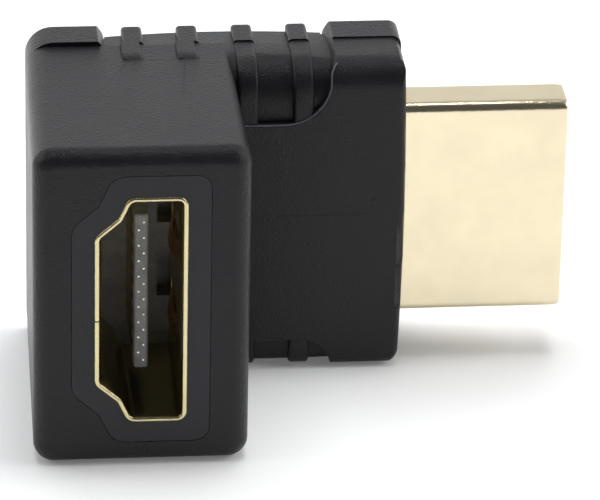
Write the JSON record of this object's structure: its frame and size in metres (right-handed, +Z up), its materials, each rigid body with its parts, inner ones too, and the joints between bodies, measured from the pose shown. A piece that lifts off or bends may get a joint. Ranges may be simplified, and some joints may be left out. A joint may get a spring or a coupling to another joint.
{
  "type": "right angle plug adapter",
  "caption": "Right angle adapter: a moulded arm with a socket in its end meets a ribbed head with a flat plug at its side.",
  "frame": {"origin": "middle of the bounding box seen from above, on the surface that the adapter stands on", "axes": "+X the way the plug points, -Y the way the socket's mouth faces, +Z up along the width of both connectors"},
  "size_m": [0.0328, 0.018, 0.0203],
  "materials": {
    "over_mould": "fine satin, moulded",
    "socket_mould": "smooth, moulded",
    "core": "moulded",
    "gold_sheet": "thin pale gold plating",
    "contact_gold": "gold plated",
    "insulator": "moulded",
    "board": "lacquered laminate"
  },
  "bodies": {
    "root": {"housing": "over_mould", "socket_inner_mould": "socket_mould", "core_mould": "core", "socket_shell": "gold_sheet", "socket_insulator": "insulator", "circuit_board": "board", "plug_shell": "gold_sheet", "plug_insulator": "insulator", "socket_contact_01": "contact_gold", "socket_contact_02": "contact_gold", "socket_contact_03": "contact_gold", "socket_contact_04": "contact_gold", "socket_contact_05": "contact_gold", "socket_contact_06": "contact_gold", "socket_contact_07": "contact_gold", "socket_contact_08": "contact_gold", "socket_contact_09": "contact_gold", "socket_contact_10": "contact_gold", "socket_contact_11": "contact_gold", "socket_contact_12": "contact_gold", "socket_contact_13": "contact_gold", "socket_contact_14": "contact_gold", "socket_contact_15": "contact_gold", "socket_contact_16": "contact_gold", "socket_contact_17": "contact_gold", "socket_contact_18": "contact_gold", "socket_contact_19": "contact_gold", "plug_contact_01": "contact_gold", "plug_contact_02": "contact_gold", "plug_contact_03": "contact_gold", "plug_contact_04": "contact_gold", "plug_contact_05": "contact_gold", "plug_contact_06": "contact_gold", "plug_contact_07": "contact_gold", "plug_contact_08": "contact_gold", "plug_contact_09": "contact_gold", "plug_contact_10": "contact_gold", "plug_contact_11": "contact_gold", "plug_contact_12": "contact_gold", "plug_contact_13": "contact_gold", "plug_contact_14": "contact_gold", "plug_contact_15": "contact_gold", "plug_contact_16": "contact_gold", "plug_contact_17": "contact_gold", "plug_contact_18": "contact_gold", "plug_contact_19": "contact_gold"}
  },
  "joints": []
}
